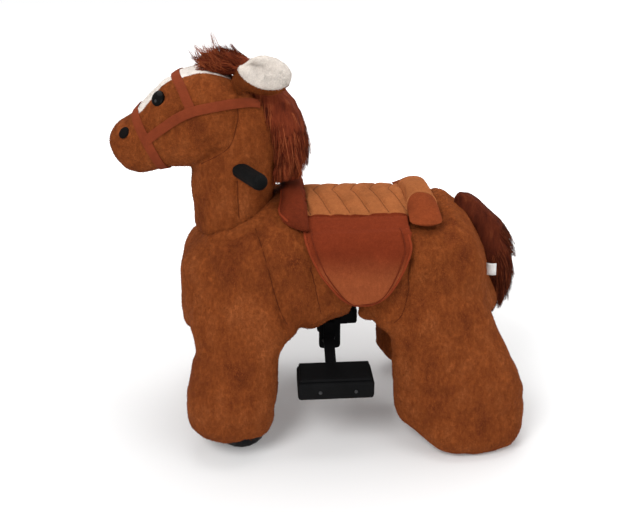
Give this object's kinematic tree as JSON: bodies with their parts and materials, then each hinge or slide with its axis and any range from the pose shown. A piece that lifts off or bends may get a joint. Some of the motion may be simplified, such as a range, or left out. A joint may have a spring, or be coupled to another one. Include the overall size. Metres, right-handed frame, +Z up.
{
  "type": "plush ride on horse",
  "caption": "Stuffed horse with a saddle over hinged leg frames that bounce apart on wheels, with side stirrups and a steered head with hand grips.",
  "frame": {"origin": "on the ground under the middle of the outer box", "axes": "+Z up; the horse faces -X; its left side is at -Y"},
  "size_m": [0.813, 0.416, 0.803],
  "materials": {
    "plush": "short pile plush, warm cinnamon brown",
    "hair": "long pile, dark red-brown",
    "flap": "short rust plush",
    "seat": "short tan plush with stitched channels",
    "strap": "matte red-brown webbing",
    "grip": "matte black rubber",
    "eye": "glossy black",
    "footrest": "black moulded plastic",
    "hub": "black powder coat",
    "steel": "plain steel",
    "wheel": "black moulded plastic",
    "board": "plain plywood"
  },
  "bodies": {
    "hub": {"hub_plate_left": "hub", "hub_plate_right": "hub", "hub_web": "hub", "pivot_pin_front": "steel", "pivot_pin_rear": "steel", "return_spring_front": "steel", "return_spring_rear": "steel", "saddle_board": "board", "saddle_cushion": "seat", "saddle_flap_left": "flap", "saddle_flap_right": "flap", "pommel": "flap", "cantle": "seat", "stirrup_arm_left": "hub", "stirrup_arm_right": "hub", "stirrup_base_left": "footrest", "stirrup_base_right": "footrest", "stirrup_tread_left": "footrest", "stirrup_tread_right": "footrest"},
    "front_frame": {"front_swing_arm": "hub", "front_cross_bar": "hub", "front_leg_tube_left": "hub", "front_leg_tube_right": "hub", "plush_front_body": "plush", "plush_front_leg_left": "plush", "plush_front_leg_right": "plush"},
    "rear_frame": {"rear_swing_arm": "hub", "rear_cross_bar": "hub", "rear_leg_fork_left": "hub", "rear_leg_fork_right": "hub", "plush_rear_body": "plush", "plush_rear_leg_left": "plush", "plush_rear_leg_right": "plush", "tail": "hair"},
    "steering": {"steering_column": "hub", "handlebar": "steel", "grip_left": "grip", "grip_right": "grip", "plush_neck": "plush", "plush_head": "plush", "mane": "hair", "forelock": "hair", "ear_left": "plush", "ear_right": "plush", "eye_left": "eye", "eye_right": "eye", "noseband": "strap", "browband": "strap", "cheek_strap_left": "strap", "cheek_strap_right": "strap"},
    "sync_link": {"sync_link": "hub"},
    "tie_rod": {"tie_rod": "hub"},
    "fork_left": {"front_fork_left": "hub"},
    "fork_right": {"front_fork_right": "hub"},
    "wheel_fl": {"wheel_front_left": "wheel"},
    "wheel_fr": {"wheel_front_right": "wheel"},
    "wheel_rl": {"wheel_rear_left": "wheel"},
    "wheel_rr": {"wheel_rear_right": "wheel"}
  },
  "joints": [
    {"name": "front_bounce", "type": "hinge", "parent": "hub", "child": "front_frame", "pos_m": [-0.088, 0, 0.425], "axis": [0, 1, 0], "range_deg": [0, 5], "stiffness_Nm_per_rad": 60, "springref_deg": -6.88},
    {"name": "rear_bounce", "type": "hinge", "parent": "hub", "child": "rear_frame", "pos_m": [0.152, 0, 0.425], "axis": [0, 1, 0], "range_deg": [-5, 0], "stiffness_Nm_per_rad": 60, "springref_deg": 6.88},
    {"name": "sync_link_pivot", "type": "hinge", "parent": "front_frame", "child": "sync_link", "pos_m": [-0.088, 0, 0.45], "axis": [0, 1, 0], "range_deg": [-5, 0]},
    {"name": "steer", "type": "hinge", "parent": "front_frame", "child": "steering", "pos_m": [-0.18, 0, 0.34], "axis": [0, 0, 1], "range_deg": [-30, 30]},
    {"name": "tie_rod_pivot", "type": "hinge", "parent": "steering", "child": "tie_rod", "pos_m": [-0.152, 0, 0.29], "axis": [0, 0, 1], "range_deg": [-30, 30]},
    {"name": "fork_left_swivel", "type": "hinge", "parent": "front_frame", "child": "fork_left", "pos_m": [-0.18, -0.135, 0.2], "axis": [0, 0, 1], "range_deg": [-30, 30]},
    {"name": "fork_right_swivel", "type": "hinge", "parent": "front_frame", "child": "fork_right", "pos_m": [-0.18, 0.135, 0.2], "axis": [0, 0, 1], "range_deg": [-30, 30]},
    {"name": "wheel_front_left_spin", "type": "hinge", "parent": "fork_left", "child": "wheel_fl", "pos_m": [-0.18, -0.135, 0.05], "axis": [0, 1, 0], "continuous": true},
    {"name": "wheel_front_right_spin", "type": "hinge", "parent": "fork_right", "child": "wheel_fr", "pos_m": [-0.18, 0.135, 0.05], "axis": [0, 1, 0], "continuous": true},
    {"name": "wheel_rear_left_spin", "type": "hinge", "parent": "rear_frame", "child": "wheel_rl", "pos_m": [0.267, -0.135, 0.05], "axis": [0, 1, 0], "continuous": true},
    {"name": "wheel_rear_right_spin", "type": "hinge", "parent": "rear_frame", "child": "wheel_rr", "pos_m": [0.267, 0.135, 0.05], "axis": [0, 1, 0], "continuous": true}
  ],
  "couplings": [
    {"joint": "rear_bounce", "follows": "front_bounce", "ratio": -1},
    {"joint": "sync_link_pivot", "follows": "front_bounce", "ratio": -1},
    {"joint": "tie_rod_pivot", "follows": "steer", "ratio": -1},
    {"joint": "fork_left_swivel", "follows": "steer", "ratio": 1},
    {"joint": "fork_right_swivel", "follows": "steer", "ratio": 1}
  ]
}
